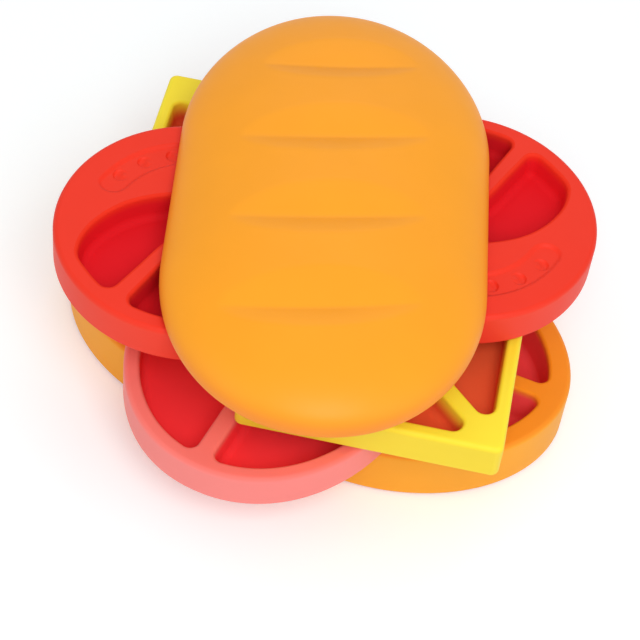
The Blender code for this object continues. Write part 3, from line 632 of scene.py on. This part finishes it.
def dome_surface(skin, plan, height, base_z):
    """Add a dome to a skin and return its lowest ring."""
    rows = [[skin.shape.verts.new(point) for point in row]
            for row in dome_grid(plan, height, base_z)]
    for first, second in zip(rows, rows[1:]):
        for index in range(DOME_COLUMNS - 1):
            a = first[min(index, len(first) - 1)], first[min(index + 1, len(first) - 1)]
            b = second[min(index + 1, len(second) - 1)], second[min(index, len(second) - 1)]
            skin.shape.faces.new(list(dict.fromkeys((*a, *b))))
    left = [row[0] for row in rows]
    right = [row[-1] for row in reversed(rows[1:-1])]
    return left + right


def bun_skin(material):
    """The bun: a domed shell of even wall with four slashes, and an upright rim with a fine edge."""
    low, high = (corner.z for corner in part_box("bun_shell"))
    skin = Skin()
    height = high - low - DOME_RIM
    outer = dome_surface(skin, BUN, height, low + DOME_RIM)
    edge = [(vert.co.x, vert.co.y) for vert in outer]
    lip = DOME_RIM * 0.8
    bottom = skin.fillet(edge, low, lip, 1, 1)
    skin.walls([outer, bottom[-1]])
    skin.walls(bottom)
    inside = dict(BUN, length=BUN["length"] - 2 * WALL, width=BUN["width"] - 2 * WALL)
    inner = dome_surface(skin, inside, height - WALL, low + DOME_RIM)
    inner_edge = [(vert.co.x, vert.co.y) for vert in inner]
    inner_low = skin.ring(inner_edge, low)
    skin.walls([inner, inner_low])
    skin.flat([bottom[0], inner_low])
    for place in places(BUN_SCREW_SHARES, BUN["length"] / 2, BUN["width"] / 2):
        foot = low + PLATE + CLEARANCE
        around = ring(POST_RADIUS, ROUND_SIDES, place)
        x, y = np.array(around + ring(POST_RADIUS / 2, ROUND_SIDES, place) + [place]).T
        under = dome_rise(x, y, inside, height - WALL) - slash_depth(x, y)
        top = low + DOME_RIM + float(under.min()) + WALL / 3
        post = [skin.ring(around, foot), skin.ring(around, top)]
        pilot = [skin.ring(ring(PILOT_RADIUS, 16, place), level)
                 for level in (foot, low + SCREW_LENGTH + 2 * CLEARANCE)]
        skin.walls(post)
        skin.walls(pilot)
        skin.flat([post[1]])
        skin.flat([pilot[1]])
        skin.flat([post[0], pilot[0]])
    piece = skin.finish("bun_dome", [material], TURNS["bun"])
    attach(piece, "bun")
    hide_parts("bun_shell")
    return piece


def cross(reach, arm, centre):
    """Outline of a cross with four equal arms."""
    points = []
    for turn in range(4):
        heading = math.radians(90) * turn
        for x, y in ((reach, -arm / 2), (reach, arm / 2), (arm / 2, arm / 2)):
            points.append((centre[0] + x * math.cos(heading) - y * math.sin(heading),
                           centre[1] + x * math.sin(heading) + y * math.cos(heading)))
    return points


def fastener_skin(name, body, sections, recess, finish):
    """A turned fastener with a tool recess in the underside of its head."""
    low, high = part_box(name)
    centre = ((low.x + high.x) / 2, (low.y + high.y) / 2)
    skin = Skin()
    rings = [skin.ring(ring(radius, ROUND_SIDES, centre), height)
             for radius, height in sections(low.z, high.z)]
    skin.walls(rings)
    skin.flat([rings[-1]])
    pocket = [skin.ring(outline, height) for outline, height in recess(centre, low.z)]
    skin.walls(pocket)
    skin.flat([pocket[-1]])
    skin.flat([rings[0], pocket[0]])
    piece = skin.finish(name + "_turned", [finish])
    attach(piece, body)
    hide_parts(name)


def screw_sections(low, high):
    return [(SCREW_HEAD_RADIUS, low), (SCREW_HEAD_RADIUS, low + CLEARANCE),
            (SCREW_RADIUS, low + SCREW_HEAD_HEIGHT), (SCREW_RADIUS, high - SCREW_RADIUS),
            (SCREW_RADIUS / 4, high)]


def cross_recess(centre, low):
    return [(cross(CROSS_REACH, CROSS_ARM, centre), low),
            (cross(CROSS_REACH / 2, CROSS_ARM / 2, centre), low + CROSS_DEPTH)]


def axle_sections(low, high):
    head, top = AXLE_RADIUS * 2, low + AXLE_HEAD_HEIGHT
    return [(head - AXLE_CHAMFER, low), (head, low + AXLE_CHAMFER), (head, top), (AXLE_RADIUS, top),
            (AXLE_RADIUS, high - 2 * AXLE_CHAMFER), (AXLE_RADIUS - AXLE_CHAMFER, high)]


def hexagon_socket(centre, low):
    return [(ring(SOCKET_RADIUS, 6, centre), low), (ring(SOCKET_RADIUS, 6, centre), low + SOCKET_DEPTH)]


# Finishes

def linear(hex_colour):
    """An sRGB hex colour as linear red, green, blue and alpha."""
    channels = [int(hex_colour[i:i + 2], 16) / 255 for i in (1, 3, 5)]
    return [c / 12.92 if c <= 0.04045 else ((c + 0.055) / 1.055) ** 2.4 for c in channels] + [1.0]


def add(material, kind, links=None, **settings):
    """Add a node. A small first letter sets a property of it, a capital one a socket."""
    tree = material.node_tree
    node = tree.nodes.new(kind)
    for name, value in settings.items():
        if name.islower() and hasattr(node, name):
            setattr(node, name, value)
        else:
            node.inputs[name.replace("_", " ")].default_value = value
    for socket, source in (links or {}).items():
        tree.links.new(source, node.inputs[socket])
    return node


def new_material(name):
    material = bpy.data.materials.new(name)
    material.use_nodes = True
    material.node_tree.nodes.clear()
    return material


def moulded_plastic(name, top, side, well_shade_colour=None, rim=0.0, shade_reach=0.0, roughness=0.5, shine=0.2):
    """Satin moulded polypropylene: an even colour with a fine tool grain that blurs its shine.

    Upright walls take their own colour, painted light and shade by which way a face points. Inside a
    well the colour deepens within a few millimetres of the rim, as painted shade and painted reflected
    light.
    """
    material = new_material(name)
    place = add(material, "ShaderNodeTexCoord").outputs["Object"]
    # Painted light and shade: the colour turns from the top colour on level faces to the side colour on
    # upright ones
    facing = add(material, "ShaderNodeSeparateXYZ",
                 {"Vector": add(material, "ShaderNodeNewGeometry").outputs["Normal"]})
    level = add(material, "ShaderNodeMath", {0: facing.outputs["Z"]}, operation="ABSOLUTE")
    facing_painted_shade = add(material, "ShaderNodeMapRange", {"Value": level.outputs[0]},
                interpolation_type="SMOOTHSTEP", From_Min=0.1, From_Max=0.85)
    shade = add(material, "ShaderNodeMix", {"Factor": facing_painted_shade.outputs["Result"]}, data_type="RGBA")
    shade.inputs[6].default_value = linear(side)
    shade.inputs[7].default_value = linear(top)
    colour = shade.outputs[2]
    # Painted shade and painted reflected light: the colour deepens with depth below the well's rim
    if well_shade_colour:
        parts = add(material, "ShaderNodeSeparateXYZ", {"Vector": place})
        depth = add(material, "ShaderNodeMapRange", {"Value": parts.outputs["Z"]},
                    interpolation_type="SMOOTHSTEP", From_Min=rim - shade_reach, From_Max=rim)
        well_shade_mix = add(material, "ShaderNodeMix", {"Factor": depth.outputs["Result"]}, data_type="RGBA")
        well_shade_mix.inputs[6].default_value = linear(well_shade_colour)
        well_shade_mix.inputs[7].default_value = linear(top)
        colour = well_shade_mix.outputs[2]
    cloud = add(material, "ShaderNodeTexNoise", {"Vector": place}, Scale=1 / CLOUD_SPAN, Detail=3.0)
    drift = add(material, "ShaderNodeMapRange", {"Value": cloud.outputs["Fac"]}, To_Min=0.97,
                To_Max=1.03)
    even = add(material, "ShaderNodeHueSaturation", {"Color": colour, "Value": drift.outputs["Result"]})
    grain = add(material, "ShaderNodeTexNoise", {"Vector": place}, Scale=1 / TOOL_GRAIN, Detail=2.0)
    bump = add(material, "ShaderNodeBump", {"Height": grain.outputs["Fac"]}, Strength=0.05,
               Distance=GRAIN_HEIGHT)
    wear = add(material, "ShaderNodeTexNoise", {"Vector": place}, Scale=1 / WEAR_SPAN, Detail=4.0)
    gloss = add(material, "ShaderNodeMapRange", {"Value": wear.outputs["Fac"]},
                To_Min=roughness - 0.05, To_Max=roughness + 0.05)
    shader = add(material, "ShaderNodeBsdfPrincipled",
                 {"Base Color": even.outputs["Color"], "Roughness": gloss.outputs["Result"],
                  "Normal": bump.outputs["Normal"]}, IOR=1.49, Specular_IOR_Level=shine)
    add(material, "ShaderNodeOutputMaterial", {"Surface": shader.outputs["BSDF"]})
    return material


def plain_finish(name, colour, roughness, metallic=0.0):
    """Small hidden hardware: one colour with a fine uneven surface."""
    material = new_material(name)
    place = add(material, "ShaderNodeTexCoord").outputs["Object"]
    grain = add(material, "ShaderNodeTexNoise", {"Vector": place}, Scale=1 / HARDWARE_GRAIN, Detail=3.0)
    bump = add(material, "ShaderNodeBump", {"Height": grain.outputs["Fac"]}, Strength=0.1,
               Distance=GRAIN_HEIGHT)
    shade = add(material, "ShaderNodeMix", {"Factor": grain.outputs["Fac"]}, data_type="RGBA")
    base = linear(colour)
    shade.inputs[6].default_value = [c * 0.9 for c in base[:3]] + [1.0]
    shade.inputs[7].default_value = base
    shader = add(material, "ShaderNodeBsdfPrincipled",
                 {"Base Color": shade.outputs[2], "Normal": bump.outputs["Normal"]},
                 Roughness=roughness, Metallic=metallic)
    add(material, "ShaderNodeOutputMaterial", {"Surface": shader.outputs["BSDF"]})
    return material


# Studio

def make_camera():
    """Camera at the photograph's place, with the axle's foot on its pixel."""
    lens = bpy.data.cameras.new("camera")
    lens.sensor_fit = "HORIZONTAL"
    lens.angle = 2 * math.atan(FRAME_PIXELS / 2 / FOCAL_PIXELS)
    camera = bpy.data.objects.new("camera", lens)
    bpy.context.scene.collection.objects.link(camera)
    elevation = math.radians(CAMERA_ELEVATION)
    azimuth = math.radians(CAMERA_AZIMUTH)
    back = Vector((math.sin(azimuth) * math.cos(elevation), -math.cos(azimuth) * math.cos(elevation),
                   math.sin(elevation)))
    pan = math.atan((PIVOT_PIXEL[0] - FRAME_PIXELS / 2) / FOCAL_PIXELS)
    tilt = math.atan((PIVOT_PIXEL[1] - FRAME_PIXELS / 2) / FOCAL_PIXELS)
    turn = (Matrix.Rotation(azimuth, 3, "Z") @ Matrix.Rotation(math.radians(90) - elevation, 3, "X")
            @ Matrix.Rotation(tilt, 3, "X") @ Matrix.Rotation(pan, 3, "Y")
            @ Matrix.Rotation(math.radians(CAMERA_ROLL), 3, "Z"))
    foot = Vector((0, 0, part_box("base_tray")[0].z))
    camera.matrix_world = Matrix.Translation(foot + back * CAMERA_DISTANCE) @ turn.to_4x4()
    lens.clip_start = 10 * MM
    lens.clip_end = 20
    bpy.context.scene.camera = camera


def seen_rays(owner):
    """One for rays from the camera, from a reflection or through a clear piece, else nought."""
    rays = add(owner, "ShaderNodeLightPath").outputs
    mirrored = add(owner, "ShaderNodeMath", {0: rays["Is Camera Ray"], 1: rays["Is Glossy Ray"]},
                   operation="MAXIMUM")
    seen = add(owner, "ShaderNodeMath", {0: mirrored.outputs[0], 1: rays["Is Transmission Ray"]},
               operation="MAXIMUM")
    return seen.outputs[0]


def make_world():
    """Even pale surroundings that light the object, white where the camera sees them."""
    world = bpy.data.worlds.new("studio")
    bpy.context.scene.world = world
    world.use_nodes = True
    world.node_tree.nodes.clear()
    around = add(world, "ShaderNodeBackground", Color=(1, 1, 1, 1), Strength=WORLD_LIGHT)
    white = add(world, "ShaderNodeBackground", Color=(1, 1, 1, 1), Strength=1.0)
    mix = add(world, "ShaderNodeMixShader", {"Fac": seen_rays(world), 1: around.outputs[0],
                                             2: white.outputs[0]})
    add(world, "ShaderNodeOutputWorld", {"Surface": mix.outputs[0]})


def make_lamp(name, azimuth, elevation, distance, size, strength):
    """A square soft lamp that faces the object, placed by its bearing from the camera's side."""
    turn = math.radians(CAMERA_AZIMUTH + azimuth)
    lift = math.radians(elevation)
    aim = Vector((math.sin(turn) * math.cos(lift), -math.cos(turn) * math.cos(lift), math.sin(lift)))
    lamp = bpy.data.lights.new(name, "AREA")
    lamp.shape = "SQUARE"
    lamp.size = size
    lamp.energy = strength * (math.pi * distance) ** 2
    holder = bpy.data.objects.new(name, lamp)
    holder.location = aim * distance
    holder.rotation_euler = aim.to_track_quat("Z", "Y").to_euler()
    bpy.context.scene.collection.objects.link(holder)


def make_floor():
    """A round pale floor that goes to white in the picture and keeps the soft shadow."""
    mesh = bpy.data.meshes.new("floor")
    shape = bmesh.new()
    bmesh.ops.create_circle(shape, cap_ends=True, segments=96, radius=FLOOR_RADIUS)
    shape.to_mesh(mesh)
    shape.free()
    floor = bpy.data.objects.new("floor", mesh)
    bpy.context.scene.collection.objects.link(floor)
    material = new_material("pale_sweep")
    paper = add(material, "ShaderNodeBsdfDiffuse", Color=(0.84, 0.82, 0.79, 1))
    seen = add(material, "ShaderNodeBsdfDiffuse", Color=(0.84, 1.0, 1.0, 1))
    glow = add(material, "ShaderNodeEmission", Color=(1.0, 0.56, 0.60, 1), Strength=0.25)
    lift = add(material, "ShaderNodeAddShader", {0: seen.outputs[0], 1: glow.outputs[0]})
    mix = add(material, "ShaderNodeMixShader", {"Fac": seen_rays(material), 1: paper.outputs[0],
                                                2: lift.outputs[0]})
    add(material, "ShaderNodeOutputMaterial", {"Surface": mix.outputs[0]})
    mesh.materials.append(material)


def main():
    bpy.context.scene.view_settings.view_transform = "Standard"
    make_camera()
    make_world()
    make_floor()
    for name, settings in LAMPS.items():
        make_lamp(name, *settings)

    looks = {}
    for layer, (top, side, well_shade_colour) in TRAY_COLOURS.items():
        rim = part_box(layer + "_tray")[1].z
        # The wells' material adds painted shade and painted reflected light below the rim
        looks[layer] = [moulded_plastic(layer + "_polypropylene", top, side),
                        moulded_plastic(layer + "_well_shaded_polypropylene", top, side, well_shade_colour, rim,
                                        WELL_SHADE_REACH[layer], roughness=0.7, shine=0.08)]
    bun_look = moulded_plastic("bun_polypropylene", *BUN_COLOURS, roughness=0.46, shine=0.3)
    # Moulded nylon is milky white with a dull shine
    nylon = plain_finish("nylon", "#E6E6E0", roughness=0.5)
    # Plated steel is a pale metal whose reflections are small and soft
    steel = plain_finish("zinc_plated_steel", "#C8CACC", roughness=0.3, metallic=1.0)
    # Moulded rubber is nearly black and shows almost no shine
    rubber = plain_finish("rubber", "#3A3A3C", roughness=0.8)

    tray_skin("base", partial(oval, BASE), oval_wells(BASE, BASE_RIM),
              places(CROSS_SHARES, BASE["length"] / 2, BASE["width"] / 2), looks["base"])
    tray_skin("ham", partial(oval, HAM), oval_wells(HAM, HAM_RIM),
              places(CROSS_SHARES, HAM["length"] / 2, HAM["width"] / 2), looks["ham"])
    tray_skin("cheese", cheese_edge, slice_wells(),
              places(SLICE_SCREW_SHARES, SLICE_SPREAD / 2, SLICE_SIDE / math.sqrt(2)), looks["cheese"])
    tray_skin("tomato", partial(oval, TOMATO), tomato_wells(),
              places(TOMATO_SCREW_SHARES, TOMATO["length"] / 2, TOMATO["width"] / 2),
              looks["tomato"], list(zip(kidneys(), seed_places())))
    bun_skin(bun_look)

    for name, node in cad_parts.items():
        if "screw" in name:
            fastener_skin(name, name.split("_")[0], screw_sections, cross_recess, steel)
        elif name == "axle_bolt":
            fastener_skin(name, "base", axle_sections, hexagon_socket, steel)
        if "screw" in name or "axle" in name:
            finish = steel
        elif "bush" in name:
            finish = nylon
        elif "foot" in name:
            finish = rubber
        else:
            finish = looks.get(name.split("_")[0], [bun_look])[0]
        node.data.materials.clear()
        node.data.materials.append(finish)


main()
